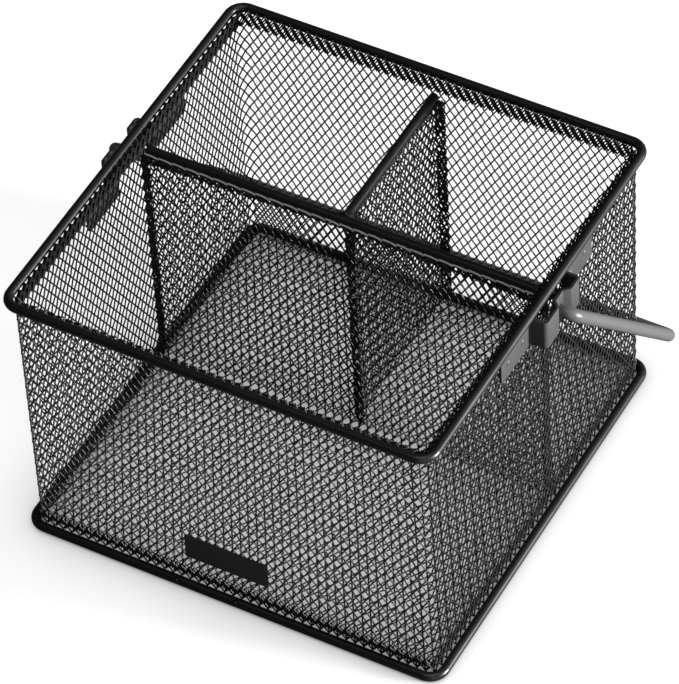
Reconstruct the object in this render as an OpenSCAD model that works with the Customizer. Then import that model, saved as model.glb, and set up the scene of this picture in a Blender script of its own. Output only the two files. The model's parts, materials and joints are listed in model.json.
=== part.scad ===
// Wire-mesh desk organizer: a square three-compartment caddy with a swinging carry handle.
// The origin is at the centre of the footprint, on the surface that the caddy stands on.
// X runs left to right, Y front to back, Z up. Sizes are in millimetres.

/* [Body] */
// Width over the rims, left to right
body_w = 190; // [150:1:300]
// Depth over the rims, front to back
body_d = 190; // [150:1:300]
// Height from the surface it stands on to the top of the top rim
body_h = 133; // [110:1:180]

/* [Rims] */
// Diameter of the rod that the two rims are bent from
rim_rod_d = 4; // [3:0.1:5]
// Corner radius of the rims, at the middle of the rod
rim_corner_r = 6.5; // [5:0.5:20]
// Depth of the flat under the bottom rim, where it stands
foot_flat = 0.1; // [0.05:0.05:0.3]
// Rise of a weld bead above the rim rod
rim_bead_rise = 0.4; // [0.2:0.1:0.8]

/* [Mesh] */
// Thickness of the woven mesh sheet, over both layers of wire
mesh_t = 1; // [0.8:0.1:1.4]
// Height of the mesh folded down inside the top rim
top_hem_h = 7.5; // [5:0.5:10]
// Height of the mesh folded up inside the foot of the walls
foot_hem_h = 5; // [3:0.5:10]
// Gap from the top of the rim down to the raw edge of the wall mesh
mesh_below_top = 1; // [0.5:0.5:1.5]
// Height of the floor mesh above the surface it stands on
floor_z = 1.6; // [1:0.1:3]

/* [Dividers] */
// Place of the long divider, measured back from the middle
long_divider_y = 12; // [-30:1:30]
// Place of the short divider, measured right from the middle
short_divider_x = 0; // [-40:1:40]
// Gap from the underside of the top hem down to the top of the dividers
divider_drop = 0.5; // [0.5:0.5:20]
// Diameter of the rod along the top of each divider
divider_rod_d = 4; // [3:0.1:5]
// Height of the mesh folded over at the top of the long divider
long_hem_h = 5; // [3:0.5:12]
// Height of the mesh folded over at the top of the short divider
short_hem_h = 2; // [1:0.5:12]
// Width of the flange bent along each upright end of a divider
flange_w = 4.5; // [3:0.5:8]
// Thickness of the layer folded over at the top of a divider
fold_t = 0.8; // [0.6:0.1:1.2]

/* [Brackets] */
// Place of the middle of the two brackets, measured back from the middle
bracket_y = 7; // [-10:1:12]
// Thickness of the bracket strap
strap_t = 1.2; // [0.8:0.1:1.6]
// Height of the bracket strap
strap_h = 14; // [12:0.5:18]
// Length of a bracket along the wall
strap_l = 77; // [66:1:90]
// Length of the raised bridge in the middle of a bracket
bridge_l = 29; // [26:1:40]
// Height of the bridge out from the wall
bridge_out = 8.5; // [8:0.1:10]
// Width of the floor of the groove in the bridge
groove_w = 5.6; // [5.5:0.1:8]
// Depth of the groove in the bridge
groove_depth = 2.6; // [2:0.1:3]
// Distance of the groove, which holds the hinge, behind the middle of the bridge
groove_shift = 1.5; // [0:0.5:3]
// Distance of the hinge below the middle of the strap's height
hinge_drop = 1; // [0:0.5:2]
// Gap between a bracket and the top rim above it
strap_gap = 1.5; // [0.5:0.5:5]

/* [Handle] */
// Diameter of the handle rod
handle_rod_d = 5.4; // [4:0.1:6]
// Height of the crossbar above the surface when the handle hangs back against the wall
grip_rest_z = 25; // [15:0.5:35]
// Bend radius at the two grip corners, at the middle of the rod
grip_bend_r = 4.5; // [3.5:0.5:20]
// Bend radius where an arm turns in to its bracket, at the middle of the rod
pin_bend_r = 4.5; // [4:0.1:6]
// Diameter of the flattened head on each end of the rod
head_d = 7.5; // [6.5:0.1:9]
// Thickness of the flattened head
head_t = 1.2; // [0.8:0.1:1.5]
// Radial clearance between the rod's end and its hole
pin_clearance = 0.05; // [0.02:0.01:0.1]
// Gap between an arm and the bridge of its bracket
arm_gap = 1.3; // [0.3:0.1:6]
// Gap between the handle and the wall it rests against, and between a head and its bracket
handle_gap = 0.3; // [0.3:0.1:1]

/* [Plate] */
// Width of the plain plate on the front wall
plate_w = 37.5; // [20:0.5:60]
// Height of the plate
plate_h = 13; // [8:0.5:16]
// Thickness of the plate
plate_t = 0.8; // [0.5:0.1:1.5]
// Height of the plate's lower edge above the surface the caddy stands on
plate_z = 17; // [12:0.5:17]
// Place of the plate, measured right from the middle
plate_x = -1.5; // [-20:0.5:20]

/* [Hidden] */
$fn = 96;
eps = 0.01;
black = [0.07, 0.07, 0.075];
satin_black = [0.12, 0.12, 0.125];
mesh_black = [0.18, 0.18, 0.19];
plate_grey = [0.3, 0.3, 0.31];

rim_r = rim_rod_d / 2;
rim_x = body_w / 2 - rim_r;
rim_y = body_d / 2 - rim_r;
top_rim_z = body_h - rim_r;
foot_rim_z = rim_r - foot_flat;
rim_bead_w = rim_rod_d * 0.6;
rim_bead_x = [-24, 3];

wall_x = rim_x - rim_r;
wall_y = rim_y - rim_r;
wall_corner_r = rim_corner_r - rim_r;
wall_top = body_h - mesh_below_top;
inner_x = wall_x - mesh_t;
inner_y = wall_y - mesh_t;
inner_corner_r = wall_corner_r - mesh_t;
floor_top = floor_z + mesh_t;
hem_bottom = wall_top - top_hem_h;

divider_top = hem_bottom - divider_drop;
sheet_top = divider_top - divider_rod_d;
long_face_y = long_divider_y + mesh_t / 2;
end_sheet_x = inner_x - mesh_t;
end_sheet_y = inner_y - mesh_t;
short_y0 = long_face_y + mesh_t;
short_y1 = end_sheet_y;
flange_z = floor_top + foot_hem_h;

strap_top = body_h - rim_rod_d - strap_gap;
strap_z = strap_top - strap_h;
hinge_y = bracket_y + groove_shift;
strap_mid_z = strap_z + strap_h / 2;
hinge_z = strap_mid_z - hinge_drop;
bridge_face_x = wall_x + bridge_out;
groove_face_x = bridge_face_x - groove_depth;
groove_back_x = groove_face_x - strap_t;
tan_bend = tan(22.5);

handle_r = handle_rod_d / 2;
arm_x = bridge_face_x + arm_gap + handle_r;
head_x = groove_back_x - handle_gap - head_t;
rest_reach = wall_y + handle_gap + handle_r - hinge_y;
rest_drop = hinge_z - grip_rest_z;
rest_angle = atan2(rest_drop, rest_reach);
// Rounded to a hundredth, so that the rod's straight stretches and bends meet exactly.
handle_arm = round(100 * norm([rest_reach, rest_drop])) / 100;
bend_turn = 90;

weld_d = 3;
weld_t = 0.6;
weld_places = [0.25, 0.75];

// ---------- shared shapes ----------

// A flat outline with four round corners, half sizes hx and hy.
module round_rect(hx, hy, r) {
    union() {
        square([2 * hx, 2 * (hy - r)], center = true);
        square([2 * (hx - r), 2 * hy], center = true);
        for (sx = [-1, 1], sy = [-1, 1])
            translate([sx * (hx - r), sy * (hy - r)]) circle(r);
    }
}

// A band of sheet of thickness t that follows the inside of the outline.
module band(hx, hy, r, t, z, h) {
    translate([0, 0, z]) linear_extrude(h) difference() {
        round_rect(hx, hy, r);
        round_rect(hx - t, hy - t, r - t);
    }
}

// A round rod bent into a closed ring with four round corners.
module rod_ring(hx, hy, corner_r, r, z) {
    translate([0, 0, z]) union() {
        for (s = [-1, 1]) {
            translate([-(hx - corner_r), s * hy, 0])
                rotate([0, 90, 0]) cylinder(h = 2 * (hx - corner_r), r = r);
            translate([s * hx, -(hy - corner_r), 0])
                rotate([-90, 0, 0]) cylinder(h = 2 * (hy - corner_r), r = r);
        }
        for (k = [0:3]) {
            sx = (k == 0 || k == 3) ? 1 : -1;
            sy = (k < 2) ? 1 : -1;
            translate([sx * (hx - corner_r), sy * (hy - corner_r), 0]) rotate([0, 0, 90 * k])
                rotate_extrude(angle = 90) translate([corner_r, 0]) circle(r);
        }
    }
}

// A block given by its low and high corners.
module block(low, high) {
    translate(low) cube(high - low);
}

// ---------- rims ----------

module top_rim() {
    color(black) rod_ring(rim_x, rim_y, rim_corner_r, rim_r, top_rim_z);
}

module bottom_rim() {
    color(black) difference() {
        rod_ring(rim_x, rim_y, rim_corner_r, rim_r, foot_rim_z);
        translate([-body_w, -body_d, -body_h]) cube([2 * body_w, 2 * body_d, body_h]);
    }
}

// Two half beads over the joints in the bottom rim, on its outer upper side.
module rim_weld_beads() {
    color(black) for (x = rim_bead_x) translate([x, -rim_y, foot_rim_z]) difference() {
        rotate([0, 90, 0]) cylinder(h = rim_bead_w, r = rim_r + rim_bead_rise, center = true);
        rotate([0, 90, 0]) cylinder(h = 2 * rim_bead_w, r = rim_r, center = true);
        translate([-rim_rod_d, -2 * rim_rod_d, -2 * rim_rod_d])
            cube([2 * rim_rod_d, 4 * rim_rod_d, 2 * rim_rod_d]);
        translate([-rim_rod_d, 0, -2 * rim_rod_d])
            cube([2 * rim_rod_d, 2 * rim_rod_d, 4 * rim_rod_d]);
    }
}

// ---------- mesh basket ----------

module wall_mesh() {
    color(mesh_black) band(wall_x, wall_y, wall_corner_r, mesh_t, floor_z, wall_top - floor_z);
}

module top_hem() {
    color(mesh_black) band(inner_x, inner_y, inner_corner_r, mesh_t, hem_bottom, top_hem_h);
}

module foot_hem() {
    color(mesh_black) band(inner_x, inner_y, inner_corner_r, mesh_t, floor_top, foot_hem_h);
}

module floor_mesh() {
    color(mesh_black) translate([0, 0, floor_z])
        linear_extrude(mesh_t) round_rect(inner_x, inner_y, inner_corner_r);
}

// ---------- dividers ----------

// The long divider stands on the floor mesh, from side wall to side wall.
module long_divider_mesh() {
    color(mesh_black) block(
        [-end_sheet_x, long_divider_y - mesh_t / 2, floor_top],
        [end_sheet_x, long_divider_y + mesh_t / 2, sheet_top]);
}

module long_divider_rod() {
    color(black) translate([-end_sheet_x, long_divider_y, sheet_top + divider_rod_d / 2])
        rotate([0, 90, 0]) cylinder(h = 2 * end_sheet_x, d = divider_rod_d);
}

// The edge of the sheet, folded down over the front face below the rod.
module long_divider_top_hem() {
    front = long_divider_y - mesh_t / 2;
    color(mesh_black) block(
        [-end_sheet_x, front - fold_t, sheet_top - long_hem_h],
        [end_sheet_x, front, sheet_top]);
}

// The end of the sheet, bent to the front and laid against a side wall above the foot hem.
module long_end_flange(side) {
    translate([side * (inner_x - mesh_t / 2), long_divider_y + mesh_t / 2 - flange_w / 2,
            (flange_z + sheet_top) / 2])
        cube([mesh_t, flange_w, sheet_top - flange_z], center = true);
}

module long_divider_left_flange() {
    color(mesh_black) long_end_flange(-1);
}

module long_divider_right_flange() {
    color(mesh_black) long_end_flange(1);
}

// The short divider runs back from the long divider to the back wall.
module short_divider_mesh() {
    color(mesh_black) block(
        [short_divider_x - mesh_t / 2, short_y0, floor_top],
        [short_divider_x + mesh_t / 2, short_y1, sheet_top]);
}

module short_divider_rod() {
    rod_y0 = long_divider_y + divider_rod_d / 2;
    color(black) translate([short_divider_x, rod_y0, sheet_top + divider_rod_d / 2])
        rotate([-90, 0, 0]) cylinder(h = short_y1 - rod_y0, d = divider_rod_d);
}

// The edge of the sheet, folded down over the right face below the rod.
module short_divider_top_hem() {
    right = short_divider_x + mesh_t / 2;
    color(mesh_black) block(
        [right, short_y0, sheet_top - short_hem_h],
        [right + fold_t, short_y1, sheet_top]);
}

// An end of the sheet, bent to the right and laid flat from y to y + mesh_t.
module short_end_flange(y, z) {
    color(mesh_black) block(
        [short_divider_x - mesh_t / 2, y, z],
        [short_divider_x - mesh_t / 2 + flange_w, y + mesh_t, sheet_top]);
}

module short_divider_front_flange() {
    short_end_flange(long_face_y, floor_top);
}

module short_divider_back_flange() {
    short_end_flange(end_sheet_y, flange_z);
}

// ---------- brackets ----------

// The strap's outline in plan, on one side of its groove: s along the wall, o outwards.
function strap_outer(side) = [
    [groove_shift + side * groove_w / 2, bridge_out - groove_depth],
    [groove_shift + side * (groove_w / 2 + groove_depth), bridge_out],
    [side * bridge_l / 2, bridge_out],
    [side * bridge_l / 2, strap_t],
    [side * strap_l / 2, strap_t]
];
function strap_inner(side) = [
    [side * strap_l / 2, 0],
    [side * (bridge_l / 2 - strap_t), 0],
    [side * (bridge_l / 2 - strap_t), bridge_out - strap_t],
    [groove_shift + side * (groove_w / 2 + groove_depth + strap_t * tan_bend), bridge_out - strap_t],
    [groove_shift + side * (groove_w / 2 + strap_t * tan_bend), bridge_out - groove_depth - strap_t]
];
function reversed(points) = [for (i = [len(points) - 1:-1:0]) points[i]];

module strap_outline() {
    polygon(concat(strap_outer(1), strap_inner(1), reversed(strap_inner(-1)), reversed(strap_outer(-1))));
}

// The right bracket: a pressed strap with the handle's hole through the groove.
module right_strap() {
    difference() {
        translate([wall_x, bracket_y, strap_z]) linear_extrude(strap_h)
            rotate([0, 0, -90]) mirror([1, 0]) strap_outline();
        translate([groove_back_x - 1, hinge_y, hinge_z])
            rotate([0, 90, 0]) cylinder(h = strap_t + 2, r = handle_r + pin_clearance);
    }
}

module right_bracket() {
    color(satin_black) right_strap();
}

module left_bracket() {
    color(satin_black) mirror([1, 0, 0]) right_strap();
}

// Flat weld nuggets on the flanges of both brackets.
module spot_welds() {
    flange_l = (strap_l - bridge_l) / 2;
    color(satin_black) for (side = [-1, 1], end = [-1, 1], place = weld_places) {
        weld_y = bracket_y + end * (bridge_l / 2 + place * flange_l);
        translate([side * (wall_x + strap_t), weld_y, strap_mid_z])
            rotate([0, side * 90, 0]) cylinder(h = weld_t, d = weld_d);
    }
}

// ---------- front plate ----------

module front_plate() {
    color(plate_grey) translate([plate_x - plate_w / 2, -wall_y - plate_t, plate_z])
        cube([plate_w, plate_t, plate_h]);
}

// ---------- handle ----------

// One side of the handle, lying along +Y from a hinge on the X axis.
module handle_side() {
    straight = handle_arm - pin_bend_r - grip_bend_r;
    union() {
        translate([head_x, 0, 0]) rotate([0, 90, 0]) cylinder(h = head_t, d = head_d);
        translate([head_x, 0, 0]) rotate([0, 90, 0])
            cylinder(h = arm_x - pin_bend_r - head_x, r = handle_r);
        translate([arm_x - pin_bend_r, pin_bend_r, 0])
            rotate_extrude(angle = bend_turn, start = -90) translate([pin_bend_r, 0]) circle(handle_r);
        translate([arm_x, pin_bend_r, 0]) rotate([-90, 0, 0]) cylinder(h = straight, r = handle_r);
        translate([arm_x - grip_bend_r, handle_arm - grip_bend_r, 0])
            rotate_extrude(angle = bend_turn) translate([grip_bend_r, 0]) circle(handle_r);
        translate([-eps, handle_arm, 0])
            rotate([0, 90, 0]) cylinder(h = arm_x - grip_bend_r + eps, r = handle_r);
    }
}

module swing_handle() {
    color(black) translate([0, hinge_y, hinge_z]) rotate([-rest_angle, 0, 0]) union() {
        handle_side();
        mirror([1, 0, 0]) handle_side();
    }
}

top_rim();
bottom_rim();
rim_weld_beads();
wall_mesh();
top_hem();
foot_hem();
floor_mesh();
long_divider_mesh();
long_divider_rod();
long_divider_top_hem();
long_divider_left_flange();
long_divider_right_flange();
short_divider_mesh();
short_divider_rod();
short_divider_top_hem();
short_divider_front_flange();
short_divider_back_flange();
left_bracket();
right_bracket();
spot_welds();
front_plate();
swing_handle();
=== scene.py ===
"""Looks of a square desk caddy in woven wire mesh, with rod rims, mesh dividers,
pressed brackets and a swinging handle. Run as a script, it builds every piece
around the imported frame. All lengths are in metres."""

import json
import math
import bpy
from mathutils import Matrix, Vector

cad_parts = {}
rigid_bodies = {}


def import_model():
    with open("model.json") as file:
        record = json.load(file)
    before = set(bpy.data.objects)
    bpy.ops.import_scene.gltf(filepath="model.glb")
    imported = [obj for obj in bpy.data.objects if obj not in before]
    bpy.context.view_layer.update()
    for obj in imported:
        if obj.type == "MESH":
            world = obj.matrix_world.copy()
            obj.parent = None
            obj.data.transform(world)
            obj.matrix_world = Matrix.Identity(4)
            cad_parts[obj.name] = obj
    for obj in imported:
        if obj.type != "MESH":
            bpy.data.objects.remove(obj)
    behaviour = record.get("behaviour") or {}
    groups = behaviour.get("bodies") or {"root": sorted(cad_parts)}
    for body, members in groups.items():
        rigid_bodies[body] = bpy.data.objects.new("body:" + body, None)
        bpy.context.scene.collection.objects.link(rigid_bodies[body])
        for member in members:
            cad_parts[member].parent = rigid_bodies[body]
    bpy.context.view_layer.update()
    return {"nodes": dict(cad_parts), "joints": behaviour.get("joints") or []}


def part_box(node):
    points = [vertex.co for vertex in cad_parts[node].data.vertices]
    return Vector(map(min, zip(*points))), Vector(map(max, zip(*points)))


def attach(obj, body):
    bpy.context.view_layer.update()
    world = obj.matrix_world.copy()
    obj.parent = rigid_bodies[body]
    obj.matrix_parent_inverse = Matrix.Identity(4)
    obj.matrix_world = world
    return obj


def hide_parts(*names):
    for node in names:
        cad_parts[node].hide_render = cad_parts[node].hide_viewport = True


bl_info = {
    "name": "Wire Mesh Desk Caddy",
    "version": (1, 0, 0),
    "blender": (4, 5, 0),
    "location": "View3D > Sidebar > Caddy",
    "description": "Weaves the mesh of a desk caddy and finishes its rods, brackets and handle",
    "category": "Add Mesh",
}

import bmesh
import bpy
from mathutils import Matrix, Vector

for stray in list(bpy.data.objects):
    bpy.data.objects.remove(stray)

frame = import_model()

MM = 0.001
UP = Vector((0, 0, 1))
BODY = "caddy"

# Two places closer than this are the same place.
SAME_PLACE = 1e-6

# Grain of the powder coat. Patches are counted per metre, and flecks are finer than the peel.
PATCH_SCALE = 45.0
FLECK_FINENESS = 3.7
FLECK_RELIEF = 0.35
DUST_COLOR = (0.32, 0.32, 0.31, 1)
COAT_IOR = 1.5

# Cells in a divider's fold are narrower than in its sheet. Layer by layer they get wider and lower.
FOLD_FIRST_W = 0.62
FOLD_STEP_W = 0.13
FOLD_STEP_H = 0.14
FOLD_LAYER_GAP = 0.2 * MM

# Tightest corner that a hem is folded round.
LEAST_FOLD_R = 0.5 * MM

# The looped edge wire lies along the front of its rod, a little below the middle.
EDGE_TURN = math.radians(193)
EDGE_SHARPNESS = 4.0
EDGE_POINTS_PER_LOOP = 14
EDGE_SIDES = 8

# Thickness and width of a spot weld, and the three sizes of a bead on the rim.
SPOT_SIZE = (0.8 * MM, 3 * MM, 3 * MM)
BEAD_SIZE = (2.8 * MM, 2.4 * MM, 2.2 * MM)

# The weld on the short divider's rod starts this share of the rod's radius inside the long rod,
# and stands at least this far proud of its own rod.
FILLET_SUNK = 0.3
FILLET_SKIN = 0.01 * MM

CORNER_SEGMENTS = 5
PLATE_EDGE_SEGMENTS = 3
HOLE_SIDES = 48
SOFT_ANGLE = math.radians(50)
SHARP_ANGLE = math.radians(35)

# Half the floor's width, and how far it lies below what stands on it.
FLOOR_HALF = 6.0
FLOOR_DROP = 0.2 * MM

# Place, width and power of each lamp.
LAMPS = {
    "key": ((1.9, 0.45, 0.27), 0.4, 185),
    "top": ((0.4, -0.5, 2.2), 1.4, 16),
    "front": ((1.2, -1.5, 0.5), 0.4, 4),
}


# ---------- settings ----------


def length(name, description, default):
    """A length property in metres, shown to a hundredth of a millimetre."""
    return bpy.props.FloatProperty(
        name=name, description=description, default=default, min=0.0, unit="LENGTH", precision=5
    )


def share(name, description, default):
    """A property from 0 to 1."""
    return bpy.props.FloatProperty(
        name=name, description=description, default=default, min=0.0, max=1.0, subtype="FACTOR"
    )


def paint(name, description, default):
    """A linear colour property."""
    return bpy.props.FloatVectorProperty(
        name=name, description=description, default=default, size=3, min=0.0, max=1.0, subtype="COLOR"
    )


class CaddyWeaveSettings(bpy.types.PropertyGroup):
    """Sizes of the woven wire."""

    wire_d: length("Wire diameter", "Thickness of one wire of the mesh", 0.68 * MM)
    wall_cell_w: length("Wall cell width", "Width of a diamond in the walls", 3.94 * MM)
    wall_cell_h: length("Wall cell height", "Height of a diamond in the walls", 6.5 * MM)
    divider_cell_w: length("Divider cell width", "Width of a diamond in a divider", 3.94 * MM)
    divider_cell_h: length("Divider cell height", "Height of a diamond in a divider", 6.5 * MM)
    sheet_t: length("Sheet thickness", "Thickness over both wires where they cross", 1 * MM)
    edge_pitch: length("Edge wire pitch", "From one loop of the edge wire to the next", 6.3 * MM)
    edge_dip: length("Edge wire dip", "How far a loop of the edge wire hangs down", 1.1 * MM)
    edge_wire_d: length("Edge wire diameter", "Thickness of the looped edge wire", 0.8 * MM)
    hem_narrow: share("Narrow hem", "Least height of the long divider's hem, as a share of its ends", 0.4)
    sides: bpy.props.IntProperty(
        name="Wire sides", description="Flats round one wire", default=6, min=4, max=12
    )
    hem_layers: bpy.props.IntProperty(
        name="Hem layers", description="Layers of mesh pressed into a hem", default=3, min=1, max=4
    )


class CaddySheetMetalSettings(bpy.types.PropertyGroup):
    """Sizes of the pressed brackets, the welds and the plate."""

    strap_t: length("Strap thickness", "Thickness of a bracket", 1.2 * MM)
    bridge_l: length("Bridge length", "Length of the raised middle of a bracket", 29 * MM)
    groove_w: length("Groove width", "Width of the flat floor of the groove", 5.6 * MM)
    groove_depth: length("Groove depth", "Depth of the groove in the bridge", 2.6 * MM)
    groove_shift: length("Groove shift", "Groove's place behind the middle of the bracket", 1.5 * MM)
    bend_r: length("Bend radius", "Radius of a bend, at the middle of the strap", 1.3 * MM)
    corner_r: length("Corner radius", "Rounding of the strap's four corners", 1.6 * MM)
    hole_d: length("Hole diameter", "Hole that the handle turns in", 5.5 * MM)
    edge_r: length("Edge radius", "Softening of a cut edge under its coat", 0.15 * MM)
    plate_edge_r: length("Plate edge radius", "Softening of the plate's front edge", 0.3 * MM)
    plate_corner_r: length("Plate corner radius", "Rounding of the plate's corners", 0.7 * MM)
    rim_bend_r: length("Rim bend radius", "Corner radius of the rims, at the middle of the rod", 6.5 * MM)
    fillet_l: length("Fillet length", "Reach of the weld along the short divider's rod", 3.5 * MM)
    fillet_w: length("Fillet width", "How far the weld stands out round that rod", 1.1 * MM)


class CaddyFinishSettings(bpy.types.PropertyGroup):
    """Colours and gloss of the coats."""

    wire_color: paint("Wire", "Coat on the woven wire", (0.0035, 0.0035, 0.0037))
    rod_color: paint("Rods", "Coat on the rims and divider rods", (0.006, 0.006, 0.0063))
    bracket_color: paint("Brackets", "Coat on the brackets and their welds", (0.03, 0.03, 0.031))
    handle_color: paint("Handle", "Coat on the handle", (0.06, 0.06, 0.061))
    # The edge wire's pale grey is a painted highlight: it stands in for the gleam along the wire, not for a
    # worn coat.
    edge_highlight_color: paint("Edge wire", "Pale grey that paints the highlight along the looped edge wire", (0.42, 0.42, 0.42))
    plate_color: paint("Plate", "Coat on the plate", (0.022, 0.022, 0.0225))
    wire_rough: share("Wire roughness", "Dullness of the woven wire", 0.4)
    rod_rough: share("Rod roughness", "Dullness of the rods", 0.36)
    bracket_rough: share("Bracket roughness", "Dullness of the brackets", 0.42)
    plate_rough: share("Plate roughness", "Dullness of the plate", 0.5)


class CaddyStageSettings(bpy.types.PropertyGroup):
    """Camera, floor and lights."""

    azimuth: bpy.props.FloatProperty(
        name="Azimuth", description="Camera's turn to the right of the front",
        default=math.radians(30.993), subtype="ANGLE",
    )
    elevation: bpy.props.FloatProperty(
        name="Elevation", description="Camera's height above the horizon",
        default=math.radians(47.226), subtype="ANGLE",
    )
    roll: bpy.props.FloatProperty(
        name="Roll", description="Camera's turn about its own line of sight",
        default=math.radians(-3.497), subtype="ANGLE",
    )
    distance: length("Distance", "From the camera to what it looks at", 2.13113)
    lens: bpy.props.FloatProperty(
        name="Lens", description="Focal length on a 36 mm sensor", default=279.88, unit="CAMERA"
    )
    target: bpy.props.FloatVectorProperty(
        name="Target", description="Point that the camera looks at",
        default=(0.00005, 0.00313, 0.060), size=3, subtype="TRANSLATION", unit="LENGTH",
    )
    floor_color: paint("Floor", "Colour of the floor as the camera sees it", (0.3, 0.3, 0.3))
    floor_bounce: paint("Floor bounce", "Colour of the floor as the pieces see it", (0.22, 0.22, 0.22))
    floor_glow: paint("Floor glow", "Light that the camera sees from the floor", (0.85, 0.85, 0.85))
    # Reach of the painted contact shadow: ambient occlusion darkens the floor's glow under the pieces.
    painted_shadow_reach: length("Contact reach", "How far up a piece darkens the floor below it", 30 * MM)
    sky_light: share("Sky light", "Strength of the light from all round", 0.06)


SETTINGS = {
    "caddy_weave": CaddyWeaveSettings,
    "caddy_metal": CaddySheetMetalSettings,
    "caddy_finish": CaddyFinishSettings,
    "caddy_stage": CaddyStageSettings,
}


# ---------- node trees ----------


class TreeMaker:
    """Adds nodes to a tree and links or sets what is handed to their inputs."""

    def __init__(self, tree):
        self.tree = tree

    def feed(self, socket, value):
        if isinstance(value, bpy.types.NodeSocket):
            self.tree.links.new(value, socket)
        else:
            socket.default_value = value

    def add(self, kind, inputs=None, **settings):
        node = self.tree.nodes.new(kind)
        for name, value in settings.items():
            setattr(node, name, value)
        for key, value in (inputs or {}).items():
            self.feed(node.inputs[key], value)
        return node

    def maths(self, operation, a, b=0.0, c=0.0):
        node = self.add("ShaderNodeMath", {0: a, 1: b, 2: c}, operation=operation)
        return node.outputs[0]

    def vector(self, operation, a, b=None, scale=None):
        node = self.add("ShaderNodeVectorMath", {0: a}, operation=operation)
        if b is not None:
            self.feed(node.inputs[1], b)
        if scale is not None:
            self.feed(node.inputs["Scale"], scale)
        return node.outputs[0]


def new_tree(name, kind, sockets):
    """A node group with the named inputs, and outputs where a name starts with '>'."""
    tree = bpy.data.node_groups.new(name, kind)
    for socket_name, socket_kind in sockets:
        is_output = socket_name.startswith(">")
        tree.interface.new_socket(
            socket_name.lstrip(">"), in_out="OUTPUT" if is_output else "INPUT", socket_type=socket_kind
        )
    maker = TreeMaker(tree)
    given = maker.add("NodeGroupInput").outputs
    result = maker.add("NodeGroupOutput").inputs
    return tree, maker, given, result


def solid_wires(maker, curves, diameter, sides):
    """Gives thin curves a round section."""
    section = maker.add(
        "GeometryNodeCurvePrimitiveCircle",
        {"Resolution": sides, "Radius": maker.maths("MULTIPLY", diameter, 0.5)},
    )
    tube = maker.add(
        "GeometryNodeCurveToMesh",
        {"Curve": curves, "Profile Curve": section.outputs["Curve"], "Fill Caps": True},
    )
    return maker.add("GeometryNodeSetShadeSmooth", {0: tube.outputs[0]}).outputs[0]


def one_way_wires(maker, given, path, lean):
    """The wires that lean one way: +1 runs up to the right, -1 up to the left."""
    rows = given["Rows"]
    per_wire = maker.maths("ADD", rows, 1.0)
    line = maker.add("GeometryNodeCurvePrimitiveLine")
    wire = maker.add("GeometryNodeResampleCurve", {"Curve": line.outputs[0], "Count": per_wire})
    starts = maker.add("GeometryNodePoints", {"Count": given["Wires"]})
    copies = maker.add(
        "GeometryNodeInstanceOnPoints", {"Points": starts.outputs[0], "Instance": wire.outputs[0]}
    )
    wires = maker.add("GeometryNodeRealizeInstances", {0: copies.outputs[0]})

    index = maker.add("GeometryNodeInputIndex").outputs[0]
    row = maker.maths("FLOORED_MODULO", index, per_wire)
    number = maker.maths("FLOOR", maker.maths("DIVIDE", maker.maths("ADD", index, 0.5), per_wire))
    first = maker.maths("MULTIPLY", number, 2.0)
    if lean > 0:
        lead = maker.maths("CEIL", maker.maths("DIVIDE", rows, 2.0))
        first = maker.maths("SUBTRACT", first, maker.maths("MULTIPLY", lead, 2.0))
    column = maker.maths("ADD", first, maker.maths("MULTIPLY", row, float(lean)))
    along = maker.maths("DIVIDE", column, given["Columns"])
    looped = maker.maths("FLOORED_MODULO", maker.maths("ADD", along, given["Shift"]), 1.0)
    place = maker.add("GeometryNodeSwitch", {0: given["Closed"], 1: along, 2: looped}, input_type="FLOAT")

    spot = maker.add(
        "GeometryNodeSampleCurve", {"Curves": path, "Factor": place.outputs[0]}, mode="FACTOR"
    )
    out = maker.vector("NORMALIZE", maker.vector("CROSS_PRODUCT", spot.outputs["Tangent"], given["Rise"]))
    climb = maker.maths("MULTIPLY", maker.maths("DIVIDE", row, rows), given["Height"])
    over = maker.maths("MULTIPLY_ADD", maker.maths("FLOORED_MODULO", row, 2.0), -2.0, 1.0)
    swing = maker.maths("MULTIPLY", maker.maths("MULTIPLY", over, float(lean)), given["Weave"])
    depth = maker.maths("ADD", swing, given["Depth"])
    raised = maker.vector(
        "ADD", spot.outputs["Position"], maker.vector("SCALE", given["Rise"], scale=climb)
    )
    position = maker.vector("ADD", raised, maker.vector("SCALE", out, scale=depth))
    placed = maker.add("GeometryNodeSetPosition", {"Geometry": wires.outputs[0], "Position": position})

    before = maker.maths("LESS_THAN", column, -0.5)
    after = maker.maths("GREATER_THAN", column, maker.maths("ADD", given["Columns"], 0.5))
    outside = maker.maths("ADD", before, after)
    opened = maker.maths("SUBTRACT", 1.0, given["Closed"])
    cut = maker.add(
        "GeometryNodeDeleteGeometry",
        {"Geometry": placed.outputs[0], "Selection": maker.maths("MULTIPLY", outside, opened)},
        domain="POINT",
    )
    count = maker.add("GeometryNodeSplineLength").outputs["Point Count"]
    kept = maker.add(
        "GeometryNodeDeleteGeometry",
        {"Geometry": cut.outputs[0], "Selection": maker.maths("LESS_THAN", count, 2.0)},
        domain="CURVE",
    )
    return kept.outputs[0]


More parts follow.
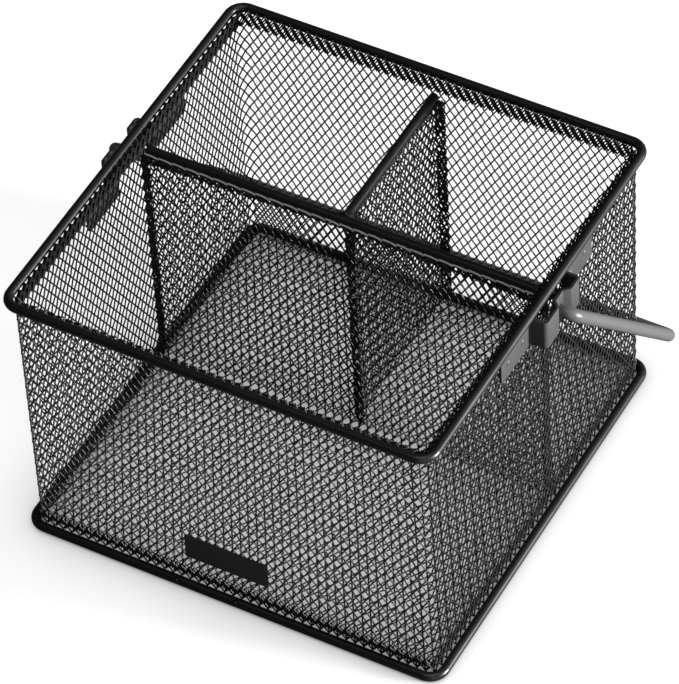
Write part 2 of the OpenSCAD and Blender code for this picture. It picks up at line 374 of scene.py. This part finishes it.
def weave_tree():
    """Plain-woven diamond mesh that follows a path and climbs away from it."""
    tree, maker, given, result = new_tree("Woven mesh", "GeometryNodeTree", [
        ("Geometry", "NodeSocketGeometry"),
        ("Columns", "NodeSocketInt"),
        ("Rows", "NodeSocketInt"),
        ("Wires", "NodeSocketInt"),
        ("Height", "NodeSocketFloat"),
        ("Rise", "NodeSocketVector"),
        ("Depth", "NodeSocketFloat"),
        ("Weave", "NodeSocketFloat"),
        ("Shift", "NodeSocketFloat"),
        ("Closed", "NodeSocketBool"),
        ("Wire Diameter", "NodeSocketFloat"),
        ("Sides", "NodeSocketInt"),
        ("Material", "NodeSocketMaterial"),
        (">Geometry", "NodeSocketGeometry"),
    ])
    path = maker.add("GeometryNodeMeshToCurve", {"Mesh": given["Geometry"]}).outputs[0]
    both = maker.add("GeometryNodeJoinGeometry")
    for lean in (1, -1):
        maker.tree.links.new(one_way_wires(maker, given, path, lean), both.inputs[0])
    tubes = solid_wires(maker, both.outputs[0], given["Wire Diameter"], given["Sides"])
    real = maker.add("GeometryNodeRealizeInstances", {0: tubes})
    finished = maker.add(
        "GeometryNodeSetMaterial", {"Geometry": real.outputs[0], "Material": given["Material"]}
    )
    maker.feed(result[0], finished.outputs[0])
    return tree


def nugget_tree():
    """A low round weld at every point."""
    tree, maker, given, result = new_tree("Weld nuggets", "GeometryNodeTree", [
        ("Geometry", "NodeSocketGeometry"),
        ("Size", "NodeSocketVector"),
        ("Material", "NodeSocketMaterial"),
        (">Geometry", "NodeSocketGeometry"),
    ])
    ball = maker.add("GeometryNodeMeshUVSphere", {"Segments": 24, "Rings": 12, "Radius": 0.5})
    smooth = maker.add("GeometryNodeSetShadeSmooth", {0: ball.outputs[0]})
    copies = maker.add("GeometryNodeInstanceOnPoints", {
        "Points": given["Geometry"], "Instance": smooth.outputs[0], "Scale": given["Size"],
    })
    real = maker.add("GeometryNodeRealizeInstances", {0: copies.outputs[0]})
    finished = maker.add(
        "GeometryNodeSetMaterial", {"Geometry": real.outputs[0], "Material": given["Material"]}
    )
    maker.feed(result[0], finished.outputs[0])
    return tree


def edge_wire_tree():
    """A wire along a path that dips in a loop once in every cell."""
    tree, maker, given, result = new_tree("Looped edge wire", "GeometryNodeTree", [
        ("Geometry", "NodeSocketGeometry"),
        ("Points", "NodeSocketInt"),
        ("Loops", "NodeSocketFloat"),
        ("Dip", "NodeSocketFloat"),
        ("Sharpness", "NodeSocketFloat"),
        ("Wire Diameter", "NodeSocketFloat"),
        ("Sides", "NodeSocketInt"),
        ("Material", "NodeSocketMaterial"),
        (">Geometry", "NodeSocketGeometry"),
    ])
    path = maker.add("GeometryNodeMeshToCurve", {"Mesh": given["Geometry"]}).outputs[0]
    fine = maker.add("GeometryNodeResampleCurve", {"Curve": path, "Count": given["Points"]})
    along = maker.add("GeometryNodeSplineParameter").outputs["Factor"]
    cell = maker.maths("FRACT", maker.maths("MULTIPLY", along, given["Loops"]))
    drop = maker.maths("MULTIPLY", maker.maths("POWER", cell, given["Sharpness"]), given["Dip"])
    down = maker.add("ShaderNodeCombineXYZ", {"Z": maker.maths("MULTIPLY", drop, -1.0)})
    dipped = maker.add(
        "GeometryNodeSetPosition", {"Geometry": fine.outputs[0], "Offset": down.outputs[0]}
    )
    tube = solid_wires(maker, dipped.outputs[0], given["Wire Diameter"], given["Sides"])
    real = maker.add("GeometryNodeRealizeInstances", {0: tube})
    finished = maker.add(
        "GeometryNodeSetMaterial", {"Geometry": real.outputs[0], "Material": given["Material"]}
    )
    maker.feed(result[0], finished.outputs[0])
    return tree


def tree_named(name, make):
    """The node tree of that name, built the first time it is asked for."""
    return bpy.data.node_groups.get(name) or make()


# ---------- materials ----------


def coat_group():
    """Powder coat: slight orange peel, fine grain and uneven gloss."""
    tree, maker, given, result = new_tree("Powder coat", "ShaderNodeTree", [
        ("Color", "NodeSocketColor"),
        ("Roughness", "NodeSocketFloat"),
        ("Peel Size", "NodeSocketFloat"),
        ("Peel Depth", "NodeSocketFloat"),
        ("Dust", "NodeSocketFloat"),
        (">Color", "NodeSocketColor"),
        (">Roughness", "NodeSocketFloat"),
        (">Normal", "NodeSocketVector"),
    ])
    where = maker.add("ShaderNodeTexCoord").outputs["Object"]
    scale = maker.maths("DIVIDE", 1.0, given["Peel Size"])
    peel = maker.add("ShaderNodeTexNoise", {"Vector": where, "Scale": scale, "Detail": 3.0})
    grain = maker.add(
        "ShaderNodeTexNoise",
        {"Vector": where, "Scale": maker.maths("MULTIPLY", scale, FLECK_FINENESS), "Detail": 2.0},
    )
    patches = maker.add("ShaderNodeTexNoise", {"Vector": where, "Scale": PATCH_SCALE, "Detail": 4.0})
    uneven = maker.add("ShaderNodeMapRange", {
        "Value": patches.outputs[0], "From Min": 0.3, "From Max": 0.7, "To Min": -0.05, "To Max": 0.07,
    })
    rough = maker.maths("ADD", given["Roughness"], uneven.outputs[0])
    fleck = maker.add("ShaderNodeMapRange", {
        "Value": grain.outputs[0], "From Min": 0.56, "From Max": 0.74, "To Min": 0.0, "To Max": 1.0,
    })
    dusty = maker.maths("MULTIPLY", fleck.outputs[0], given["Dust"])
    mix = maker.add("ShaderNodeMix", {0: dusty, 6: given["Color"], 7: DUST_COLOR}, data_type="RGBA")
    relief = maker.maths("MULTIPLY_ADD", grain.outputs[0], FLECK_RELIEF, peel.outputs[0])
    bump = maker.add(
        "ShaderNodeBump", {"Height": relief, "Distance": given["Peel Depth"], "Strength": 1.0}
    )
    maker.feed(result["Color"], mix.outputs[2])
    maker.feed(result["Roughness"], rough)
    maker.feed(result["Normal"], bump.outputs[0])
    return tree


def coated(name, color, roughness, peel=0.6 * MM, depth=0.012 * MM, dust=0.03, specular=0.3):
    """A coated steel material with its own colour, gloss and grain."""
    material = bpy.data.materials.get(name)
    if material:
        return material
    material = bpy.data.materials.new(name)
    material.use_nodes = True
    maker = TreeMaker(material.node_tree)
    shader = material.node_tree.nodes["Principled BSDF"]
    coat = maker.add("ShaderNodeGroup", node_tree=tree_named("Powder coat", coat_group))
    for key, value in {
        "Color": (*color, 1), "Roughness": roughness, "Peel Size": peel, "Peel Depth": depth, "Dust": dust,
    }.items():
        coat.inputs[key].default_value = value
    shader.inputs["IOR"].default_value = COAT_IOR
    shader.inputs["Specular IOR Level"].default_value = specular
    maker.feed(shader.inputs["Base Color"], coat.outputs["Color"])
    maker.feed(shader.inputs["Roughness"], coat.outputs["Roughness"])
    maker.feed(shader.inputs["Normal"], coat.outputs["Normal"])
    return material


def wire_material():
    finish = bpy.context.scene.caddy_finish
    return coated(
        "Coated wire", finish.wire_color, finish.wire_rough,
        peel=0.35 * MM, depth=0.006 * MM, dust=0.0, specular=0.45,
    )


def rod_material():
    finish = bpy.context.scene.caddy_finish
    return coated("Coated rod", finish.rod_color, finish.rod_rough)


# Painted highlight: the edge wire is coloured pale grey to show the light that it catches.
def edge_highlight_material():
    finish = bpy.context.scene.caddy_finish
    return coated("Edge wire painted highlight", finish.edge_highlight_color, finish.wire_rough, peel=0.35 * MM, dust=0.2)


def bracket_material():
    finish = bpy.context.scene.caddy_finish
    return coated("Coated strap", finish.bracket_color, finish.bracket_rough, depth=0.016 * MM)


def handle_material():
    finish = bpy.context.scene.caddy_finish
    return coated("Coated handle rod", finish.handle_color, finish.rod_rough)


def plate_material():
    finish = bpy.context.scene.caddy_finish
    return coated("Matt plate", finish.plate_color, finish.plate_rough, peel=0.45 * MM, dust=0.08)


# ---------- making pieces ----------


def new_object(name, mesh):
    piece = bpy.data.objects.new(name, mesh)
    bpy.context.scene.collection.objects.link(piece)
    return piece


def path_mesh(points, closed=False):
    """A line of edges through the points."""
    mesh = bpy.data.meshes.new("path")
    edges = [(i, i + 1) for i in range(len(points) - 1)]
    if closed:
        edges.append((len(points) - 1, 0))
    mesh.from_pydata([tuple(p) for p in points], edges, [])
    return mesh


def bake(piece):
    """Turns a piece with modifiers into a plain mesh."""
    name = piece.name
    graph = bpy.context.evaluated_depsgraph_get()
    mesh = bpy.data.meshes.new_from_object(piece.evaluated_get(graph), depsgraph=graph)
    piece.modifiers.clear()
    piece.data = mesh
    mesh.name = name
    return piece


def run_tree(name, host, tree, values):
    """A mesh piece made by a node tree from its host, with inputs set by their names."""
    piece = new_object(name, host)
    modifier = piece.modifiers.new(tree.name, "NODES")
    modifier.node_group = tree
    for item in tree.interface.items_tree:
        if item.in_out == "INPUT" and item.name in values:
            modifier[item.identifier] = values[item.name]
    return bake(piece)


def install(piece, replaced, body=BODY):
    """Hangs a finished piece on its body in place of CAD nodes."""
    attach(piece, body)
    if replaced:
        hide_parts(*replaced)
    return piece


def woven(name, path, closed, height, rise, cell, depth=0.0, shift=0.0):
    """A piece of woven mesh along a path, made of whole cells."""
    weave = bpy.context.scene.caddy_weave
    cell_w, cell_h = cell
    span = sum((b - a).length for a, b in zip(path, path[1:] + path[:1] if closed else path[1:]))
    columns = 2 * round(span / cell_w)
    rows = max(1, round(2 * height / cell_h))
    wires = columns // 2 if closed else columns // 2 + math.ceil(rows / 2) + 1
    return run_tree(name, path_mesh(path, closed), tree_named("Woven mesh", weave_tree), {
        "Columns": columns, "Rows": rows, "Wires": wires, "Height": height, "Rise": rise,
        "Depth": depth, "Weave": (weave.sheet_t - weave.wire_d) / 2, "Shift": shift, "Closed": closed,
        "Wire Diameter": weave.wire_d, "Sides": weave.sides, "Material": wire_material(),
    })


def rounded_square(half_x, half_y, radius, z, steps=8):
    """Points round a square with round corners, anticlockwise seen from above."""
    points = []
    for corner, (sx, sy) in enumerate(((1, -1), (1, 1), (-1, 1), (-1, -1))):
        centre = Vector((sx * (half_x - radius), sy * (half_y - radius), z))
        for i in range(steps + 1):
            turn = math.pi / 2 * (corner - 1 + i / steps)
            points.append(centre + radius * Vector((math.cos(turn), math.sin(turn), 0)))
    return points


def joined(name, pieces):
    """Several plain mesh objects made into one."""
    whole = bmesh.new()
    materials = []
    for piece in pieces:
        whole.from_mesh(piece.data)
        materials = materials or list(piece.data.materials)
        bpy.data.objects.remove(piece)
    mesh = bpy.data.meshes.new(name)
    whole.to_mesh(mesh)
    whole.free()
    for material in materials:
        mesh.materials.append(material)
    return new_object(name, mesh)


def walls():
    """Middle of the wall sheet: half width, half depth, corner radius and thickness."""
    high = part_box("wall_mesh")[1]
    hem_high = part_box("top_hem")[1]
    sheet = high.x - hem_high.x
    rim_low, rim_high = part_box("top_rim")
    rim_d = rim_high.z - rim_low.z
    bend_r = bpy.context.scene.caddy_metal.rim_bend_r
    return high.x - sheet / 2, high.y - sheet / 2, bend_r - rim_d / 2 - sheet / 2, sheet


# ---------- operators ----------


class CADDY_OT_walls(bpy.types.Operator):
    """Weave the wall mesh in one band round all four sides"""

    bl_idname = "caddy.walls"
    bl_label = "Weave Walls"

    def execute(self, context):
        weave = context.scene.caddy_weave
        half_x, half_y, radius, _ = walls()
        low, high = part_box("wall_mesh")
        path = rounded_square(half_x, half_y, radius, low.z + weave.wire_d / 2)
        cell = (weave.wall_cell_w, weave.wall_cell_h)
        piece = woven("wall_mesh_woven", path, True, high.z - low.z - weave.wire_d, UP, cell)
        install(piece, ["wall_mesh"])
        return {"FINISHED"}


class CADDY_OT_hems(bpy.types.Operator):
    """Weave the folded hems inside the top rim and round the foot"""

    bl_idname = "caddy.hems"
    bl_label = "Weave Hems"

    def execute(self, context):
        weave = context.scene.caddy_weave
        half_x, half_y, radius, sheet = walls()
        cell = (weave.wall_cell_w, weave.wall_cell_h)
        for node in ("top_hem", "foot_hem"):
            low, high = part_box(node)
            layers = []
            for layer in range(weave.hem_layers):
                step = (layer + 0.5) / weave.hem_layers * sheet
                inset = sheet / 2 + step
                path = rounded_square(
                    half_x - inset, half_y - inset, max(radius - inset, LEAST_FOLD_R),
                    low.z + weave.wire_d / 2,
                )
                height = high.z - low.z - weave.wire_d
                shift = (layer + 1) / (weave.hem_layers + 1) * cell[0] / (8 * half_x)
                layers.append(woven(f"{node}_{layer}", path, True, height, UP, cell, shift=shift))
            install(joined(node + "_woven", layers), [node])
        return {"FINISHED"}


class CADDY_OT_floor(bpy.types.Operator):
    """Weave the floor mesh"""

    bl_idname = "caddy.floor"
    bl_label = "Weave Floor"

    def execute(self, context):
        weave = context.scene.caddy_weave
        low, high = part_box("floor_mesh")
        z = (low.z + high.z) / 2
        path = [Vector((low.x, low.y, z)), Vector((high.x, low.y, z))]
        cell = (weave.wall_cell_w, weave.wall_cell_h)
        piece = woven("floor_mesh_woven", path, False, high.y - low.y, Vector((0, 1, 0)), cell)
        install(piece, ["floor_mesh"])
        return {"FINISHED"}


class CADDY_OT_dividers(bpy.types.Operator):
    """Weave the dividers with their top hems and end flanges"""

    bl_idname = "caddy.dividers"
    bl_label = "Weave Dividers"

    def panel(self, node, axis):
        """Weaves one flat upright sheet where a CAD sheet stands, running along an axis."""
        weave = bpy.context.scene.caddy_weave
        low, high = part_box(node)
        middle = (low + high) / 2
        start, end = middle.copy(), middle.copy()
        start[axis], end[axis] = low[axis], high[axis]
        start.z = end.z = low.z
        cell = (weave.divider_cell_w, weave.divider_cell_h)
        if node.endswith("_mesh"):
            piece = woven(node + "_woven", [start, end], False, high.z - low.z, UP, cell)
        else:
            layers = []
            for layer in range(weave.hem_layers):
                finer = (
                    cell[0] * (FOLD_FIRST_W + FOLD_STEP_W * layer), cell[1] * (1 - FOLD_STEP_H * layer)
                )
                depth = (layer - (weave.hem_layers - 1) / 2) * FOLD_LAYER_GAP
                layers.append(
                    woven(f"{node}_{layer}", [start, end], False, high.z - low.z, UP, finer, depth=depth)
                )
            piece = joined(node + "_woven", layers)
        if node == "long_divider_top_hem":
            self.taper(piece, low, high, weave.hem_narrow)
        return install(piece, [node])

    def taper(self, piece, low, high, narrow):
        """Draws a hem up towards its top, most in the middle of its length."""
        middle, half = (low.x + high.x) / 2, (high.x - low.x) / 2
        for vert in piece.data.vertices:
            outward = abs(vert.co.x - middle) / half
            kept = narrow + (1 - narrow) * outward
            vert.co.z = high.z - (high.z - vert.co.z) * kept

    def execute(self, context):
        along_x, along_y = 0, 1
        for node in ("long_divider_mesh", "long_divider_top_hem",
                     "short_divider_front_flange", "short_divider_back_flange"):
            self.panel(node, along_x)
        for node in ("short_divider_mesh", "short_divider_top_hem",
                     "long_divider_left_flange", "long_divider_right_flange"):
            self.panel(node, along_y)
        return {"FINISHED"}


class CADDY_OT_edge_wire(bpy.types.Operator):
    """Lay the looped edge wire along the lower front of the long divider's rod"""

    bl_idname = "caddy.edge_wire"
    bl_label = "Lay Edge Wire"

    def execute(self, context):
        weave = context.scene.caddy_weave
        low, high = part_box("long_divider_rod")
        radius = (high.z - low.z) / 2
        centre = (low + high) / 2
        reach = radius + weave.edge_wire_d / 4
        y = centre.y + reach * math.cos(EDGE_TURN)
        z = centre.z + reach * math.sin(EDGE_TURN)
        path = path_mesh([Vector((low.x, y, z)), Vector((high.x, y, z))])
        loops = (high.x - low.x) / weave.edge_pitch
        piece = run_tree("long_divider_edge_wire", path, tree_named("Looped edge wire", edge_wire_tree), {
            "Points": int(loops * EDGE_POINTS_PER_LOOP), "Loops": loops, "Dip": weave.edge_dip,
            "Sharpness": EDGE_SHARPNESS, "Wire Diameter": weave.edge_wire_d, "Sides": EDGE_SIDES,
            "Material": edge_highlight_material(),
        })
        install(piece, [])
        return {"FINISHED"}


class CADDY_OT_brackets(bpy.types.Operator):
    """Press the two brackets, with rounded bends and the handle's hole"""

    bl_idname = "caddy.brackets"
    bl_label = "Press Brackets"

    def centre_line(self, metal, strap_l, out):
        """Middle of the strap in plan: along the wall, then out from it, with round bends."""
        half_t = metal.strap_t / 2
        riser = metal.bridge_l / 2 - half_t
        top, floor = out - half_t, out - metal.groove_depth - half_t
        slack = half_t * math.tan(math.pi / 8)
        near = metal.groove_w / 2 + slack
        far = near + metal.groove_depth
        shift = metal.groove_shift
        corners = [
            (-strap_l / 2, half_t), (-riser, half_t), (-riser, top), (shift - far, top),
            (shift - near, floor), (shift + near, floor), (shift + far, top),
            (riser, top), (riser, half_t), (strap_l / 2, half_t),
        ]
        return self.rounded([Vector(c) for c in corners], metal.bend_r)

    def rounded(self, corners, radius, steps=6):
        """An open line with an arc in place of each inner corner."""
        line = [corners[0]]
        for before, corner, after in zip(corners, corners[1:], corners[2:]):
            back, ahead = (before - corner).normalized(), (after - corner).normalized()
            half_angle = back.angle(ahead) / 2
            room = 0.45 * min((before - corner).length, (after - corner).length)
            reach = min(radius / math.tan(half_angle), room)
            bend_r = reach * math.tan(half_angle)
            hub = corner + (back + ahead).normalized() * bend_r / math.sin(half_angle)
            start, end = corner + back * reach - hub, corner + ahead * reach - hub
            sweep = start.angle_signed(end)
            for i in range(steps + 1):
                line.append(hub + Matrix.Rotation(-sweep * i / steps, 2) @ start)
        line.append(corners[-1])
        return line

    def strap(self, node, side):
        metal = bpy.context.scene.caddy_metal
        low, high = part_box(node)
        line = self.centre_line(metal, high.y - low.y, high.x - low.x)
        middle_y = (low.y + high.y) / 2
        inner_x = low.x if side > 0 else high.x

        outer, inner = [], []
        for i, point in enumerate(line):
            ahead = line[min(i + 1, len(line) - 1)] - line[max(i - 1, 0)]
            normal = Vector((-ahead.y, ahead.x)).normalized() * metal.strap_t / 2
            outer.append(point + normal)
            inner.append(point - normal)
        ring = outer + inner[::-1]

        shape = bmesh.new()
        bottom = [shape.verts.new((inner_x + side * p.y, middle_y + p.x, low.z)) for p in ring]
        count = len(line)
        top = [shape.verts.new((v.co.x, v.co.y, high.z)) for v in bottom]
        for i in range(count - 1):
            a, b, c, d = i, i + 1, 2 * count - 2 - i, 2 * count - 1 - i
            shape.faces.new([bottom[k] for k in (a, b, c, d)])
            shape.faces.new([top[k] for k in (d, c, b, a)])
        for i in range(len(ring)):
            k = (i + 1) % len(ring)
            shape.faces.new([bottom[k], bottom[i], top[i], top[k]])
        bmesh.ops.recalc_face_normals(shape, faces=shape.faces)
        ends = [
            e for e in shape.edges
            if abs(e.verts[0].co.y - e.verts[1].co.y) < SAME_PLACE
            and abs(e.verts[0].co.z - e.verts[1].co.z) < SAME_PLACE
            and min(abs(e.verts[0].co.y - low.y), abs(e.verts[0].co.y - high.y)) < SAME_PLACE
        ]
        bmesh.ops.bevel(
            shape, geom=ends, offset=metal.corner_r, segments=CORNER_SEGMENTS, profile=0.5, affect="EDGES"
        )
        mesh = bpy.data.meshes.new(node + "_pressed")
        shape.to_mesh(mesh)
        shape.free()
        piece = new_object(node + "_pressed", mesh)
        return self.finished(piece, metal, side)

    def finished(self, piece, metal, side):
        """Drills the strap for the handle and softens its cut edges."""
        hinge = Vector(frame["joints"][0]["pos_m"])
        wall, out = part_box("wall_mesh")[1].x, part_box("right_bracket")[1].x
        drill = bmesh.new()
        bmesh.ops.create_cone(
            drill, cap_ends=True, segments=HOLE_SIDES, radius1=metal.hole_d / 2,
            radius2=metal.hole_d / 2, depth=2 * (out - wall),
            matrix=Matrix.Translation((side * out, hinge.y, hinge.z)) @ Matrix.Rotation(math.pi / 2, 4, "Y"),
        )
        drill_mesh = bpy.data.meshes.new("drill")
        drill.to_mesh(drill_mesh)
        drill.free()
        cutter = new_object("drill", drill_mesh)
        hole = piece.modifiers.new("Hole", "BOOLEAN")
        hole.operation, hole.object, hole.solver = "DIFFERENCE", cutter, "EXACT"
        soft = piece.modifiers.new("Soft edges", "BEVEL")
        soft.width, soft.segments, soft.limit_method = metal.edge_r, 2, "ANGLE"
        soft.angle_limit = SOFT_ANGLE
        bake(piece)
        bpy.data.objects.remove(cutter)
        piece.data.materials.clear()
        piece.data.materials.append(bracket_material())
        piece.data.shade_smooth()
        piece.data.set_sharp_from_angle(angle=SHARP_ANGLE)
        return piece

    def execute(self, context):
        for node, side in (("left_bracket", -1), ("right_bracket", 1)):
            install(self.strap(node, side), [node])
        return {"FINISHED"}


class CADDY_OT_welds(bpy.types.Operator):
    """Raise the spot welds on the brackets and the beads on the bottom rim"""

    bl_idname = "caddy.welds"
    bl_label = "Raise Welds"

    def centres(self, node):
        """The middle of every separate lump in a CAD node."""
        mesh = bmesh.new()
        mesh.from_mesh(frame["nodes"][node].data)
        bmesh.ops.remove_doubles(mesh, verts=mesh.verts, dist=SAME_PLACE)
        waiting, middles = set(mesh.verts), []
        while waiting:
            lump, edge = set(), [waiting.pop()]
            while edge:
                vert = edge.pop()
                lump.add(vert)
                for other in (e.other_vert(vert) for e in vert.link_edges):
                    if other in waiting:
                        waiting.discard(other)
                        edge.append(other)
            corners = [v.co for v in lump]
            low = Vector(map(min, *corners))
            high = Vector(map(max, *corners))
            middles.append((low + high) / 2)
        mesh.free()
        return middles

    def execute(self, context):
        spots = self.centres("spot_welds")
        wall_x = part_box("wall_mesh")[1].x
        face = wall_x + context.scene.caddy_metal.strap_t
        for spot in spots:
            spot.x = math.copysign(face, spot.x)
        nuggets = run_tree("spot_welds_domed", path_mesh(spots), tree_named("Weld nuggets", nugget_tree), {
            "Size": SPOT_SIZE, "Material": bracket_material(),
        })
        install(nuggets, ["spot_welds"])
        beads = run_tree(
            "rim_weld_beads_domed", path_mesh(self.centres("rim_weld_beads")),
            tree_named("Weld nuggets", nugget_tree),
            {"Size": BEAD_SIZE, "Material": rod_material()},
        )
        install(beads, ["rim_weld_beads"])
        self.fillet(context.scene.caddy_metal)
        return {"FINISHED"}

    def fillet(self, metal, rings=8, sides=32):
        """Flares the short divider's rod into the long one where they are welded."""
        low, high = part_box("short_divider_rod")
        middle, rod_r = (low + high) / 2, (high.z - low.z) / 2
        shape = bmesh.new()
        loops = []
        for ring in range(rings + 1):
            reach = ring / rings
            radius = rod_r + metal.fillet_w * (1 - reach) ** 2 + FILLET_SKIN
            y = low.y - rod_r * FILLET_SUNK + reach * metal.fillet_l
            loops.append([
                shape.verts.new((
                    middle.x + radius * math.cos(turn), y, middle.z + radius * math.sin(turn)
                ))
                for turn in (2 * math.pi * k / sides for k in range(sides))
            ])
        for near, far in zip(loops, loops[1:]):
            for k in range(sides):
                after = (k + 1) % sides
                shape.faces.new((near[k], near[after], far[after], far[k]))
        shape.faces.new(loops[0])
        shape.faces.new(loops[-1][::-1])
        bmesh.ops.recalc_face_normals(shape, faces=shape.faces)
        mesh = bpy.data.meshes.new("divider_rod_weld")
        shape.to_mesh(mesh)
        shape.free()
        mesh.shade_smooth()
        mesh.materials.append(rod_material())
        install(new_object("divider_rod_weld", mesh), [])


class CADDY_OT_plate(bpy.types.Operator):
    """Cut the plain plate, with round corners and a softened edge"""

    bl_idname = "caddy.plate"
    bl_label = "Cut Plate"

    def execute(self, context):
        metal = context.scene.caddy_metal
        low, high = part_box("front_plate")
        shape = bmesh.new()
        bmesh.ops.create_cube(shape, size=1.0)
        size, middle = high - low, (low + high) / 2
        for vert in shape.verts:
            vert.co = Vector(a * b for a, b in zip(vert.co, size)) + middle
        upright = [e for e in shape.edges if abs(e.verts[0].co.y - e.verts[1].co.y) > size.y / 2]
        bmesh.ops.bevel(
            shape, geom=upright, offset=metal.plate_corner_r, segments=CORNER_SEGMENTS,
            profile=0.5, affect="EDGES",
        )
        front = [
            e for e in shape.edges
            if all(abs(v.co.y - low.y) < SAME_PLACE for v in e.verts) and len(e.link_faces) == 2
        ]
        bmesh.ops.bevel(
            shape, geom=front, offset=metal.plate_edge_r, segments=PLATE_EDGE_SEGMENTS,
            profile=0.5, affect="EDGES",
        )
        mesh = bpy.data.meshes.new("front_plate_cut")
        shape.to_mesh(mesh)
        shape.free()
        mesh.materials.append(plate_material())
        install(new_object("front_plate_cut", mesh), ["front_plate"])
        return {"FINISHED"}


class CADDY_OT_rods(bpy.types.Operator):
    """Coat the rims, the divider rods and the handle"""

    bl_idname = "caddy.rods"
    bl_label = "Coat Rods"

    def execute(self, context):
        coats = {
            "top_rim": rod_material(), "bottom_rim": rod_material(),
            "long_divider_rod": rod_material(), "short_divider_rod": rod_material(),
            "swing_handle": handle_material(),
        }
        for node, material in coats.items():
            rod = frame["nodes"][node]
            rod.data.materials.clear()
            rod.data.materials.append(material)
        return {"FINISHED"}


class CADDY_OT_stage(bpy.types.Operator):
    """Set the floor, the lights and the camera"""

    bl_idname = "caddy.stage"
    bl_label = "Set Stage"

    def light(self, name, place, size, power):
        data = bpy.data.lights.new(name, "AREA")
        data.shape, data.size, data.energy = "SQUARE", size, power
        lamp = bpy.data.objects.new(name, data)
        bpy.context.scene.collection.objects.link(lamp)
        lamp.location = place
        lamp.rotation_euler = (-Vector(place)).to_track_quat("-Z", "Y").to_euler()

    def camera(self, stage):
        az, el = stage.azimuth, stage.elevation
        back = Vector((math.sin(az) * math.cos(el), -math.cos(az) * math.cos(el), math.sin(el)))
        right = (-back).cross(UP).normalized()
        up = right.cross(-back)
        turned_right = math.cos(stage.roll) * right + math.sin(stage.roll) * up
        turned_up = math.cos(stage.roll) * up - math.sin(stage.roll) * right
        data = bpy.data.cameras.new("camera")
        data.lens, data.sensor_width = stage.lens, 36
        data.clip_start, data.clip_end = 0.1, 20
        camera = bpy.data.objects.new("camera", data)
        bpy.context.scene.collection.objects.link(camera)
        camera.matrix_world = Matrix.Translation(Vector(stage.target) + back * stage.distance) @ Matrix(
            (turned_right, turned_up, back)
        ).transposed().to_4x4()
        bpy.context.scene.camera = camera

    def floor_material(self, stage):
        """A pale floor that throws little light back on to the pieces. Under the pieces its glow is darkened
        by ambient occlusion: a painted contact shadow.
        """
        material = bpy.data.materials.new("Pale floor")
        material.use_nodes = True
        maker = TreeMaker(material.node_tree)
        seen = maker.add("ShaderNodeLightPath").outputs["Is Camera Ray"]
        shader = material.node_tree.nodes["Principled BSDF"]
        shader.inputs["Roughness"].default_value = 0.9
        shader.inputs["Specular IOR Level"].default_value = 0.0
        shader.inputs["Emission Strength"].default_value = 1.0
        # Painted contact shadow: ambient occlusion darkens the glow that the camera sees under the pieces.
        painted_contact_shadow = maker.add("ShaderNodeAmbientOcclusion", {
            "Color": (*stage.floor_glow, 1), "Distance": stage.painted_shadow_reach,
        }, samples=16)
        for socket, unseen, shown in (
            ("Base Color", (*stage.floor_bounce, 1), (*stage.floor_color, 1)),
            ("Emission Color", (0, 0, 0, 1), painted_contact_shadow.outputs["Color"]),
        ):
            mix = maker.add("ShaderNodeMix", {0: seen, 6: unseen, 7: shown}, data_type="RGBA")
            maker.feed(shader.inputs[socket], mix.outputs[2])
        return material

    def execute(self, context):
        stage = context.scene.caddy_stage
        mesh = bpy.data.meshes.new("floor")
        corners = [
            (sx * FLOOR_HALF, sy * FLOOR_HALF, -FLOOR_DROP)
            for sx, sy in ((-1, -1), (1, -1), (1, 1), (-1, 1))
        ]
        mesh.from_pydata(corners, [], [(0, 1, 2, 3)])
        mesh.materials.append(self.floor_material(stage))
        new_object("floor", mesh)
        for name, (place, size, power) in LAMPS.items():
            self.light(name, place, size, power)
        world = context.scene.world or bpy.data.worlds.new("studio")
        context.scene.world = world
        world.use_nodes = True
        maker = TreeMaker(world.node_tree)
        seen = maker.add("ShaderNodeLightPath").outputs["Is Camera Ray"]
        sky = world.node_tree.nodes["Background"]
        maker.feed(sky.inputs["Strength"], maker.maths("MAXIMUM", seen, stage.sky_light))
        sky.inputs["Color"].default_value = (1, 1, 1, 1)
        context.scene.view_settings.view_transform = "Standard"
        self.camera(stage)
        return {"FINISHED"}


class CADDY_PT_panel(bpy.types.Panel):
    """Shows the caddy's settings and its operators"""

    bl_idname = "CADDY_PT_panel"
    bl_label = "Mesh Caddy"
    bl_space_type = "VIEW_3D"
    bl_region_type = "UI"
    bl_category = "Caddy"

    def draw(self, context):
        for group in SETTINGS:
            box = self.layout.box()
            settings = getattr(context.scene, group)
            for name in settings.__annotations__:
                box.prop(settings, name)
        for operator in OPERATORS:
            self.layout.operator(operator.bl_idname)


OPERATORS = (
    CADDY_OT_stage,
    CADDY_OT_walls,
    CADDY_OT_hems,
    CADDY_OT_floor,
    CADDY_OT_dividers,
    CADDY_OT_edge_wire,
    CADDY_OT_brackets,
    CADDY_OT_welds,
    CADDY_OT_plate,
    CADDY_OT_rods,
)


def register():
    for kind in (*SETTINGS.values(), *OPERATORS, CADDY_PT_panel):
        bpy.utils.register_class(kind)
    for name, kind in SETTINGS.items():
        setattr(bpy.types.Scene, name, bpy.props.PointerProperty(type=kind))


def unregister():
    for name in SETTINGS:
        delattr(bpy.types.Scene, name)
    for kind in (CADDY_PT_panel, *reversed(OPERATORS), *reversed(list(SETTINGS.values()))):
        bpy.utils.unregister_class(kind)


def main():
    register()
    for operator in OPERATORS:
        group, name = operator.bl_idname.split(".")
        getattr(getattr(bpy.ops, group), name)()


if __name__ == "__main__":
    main()
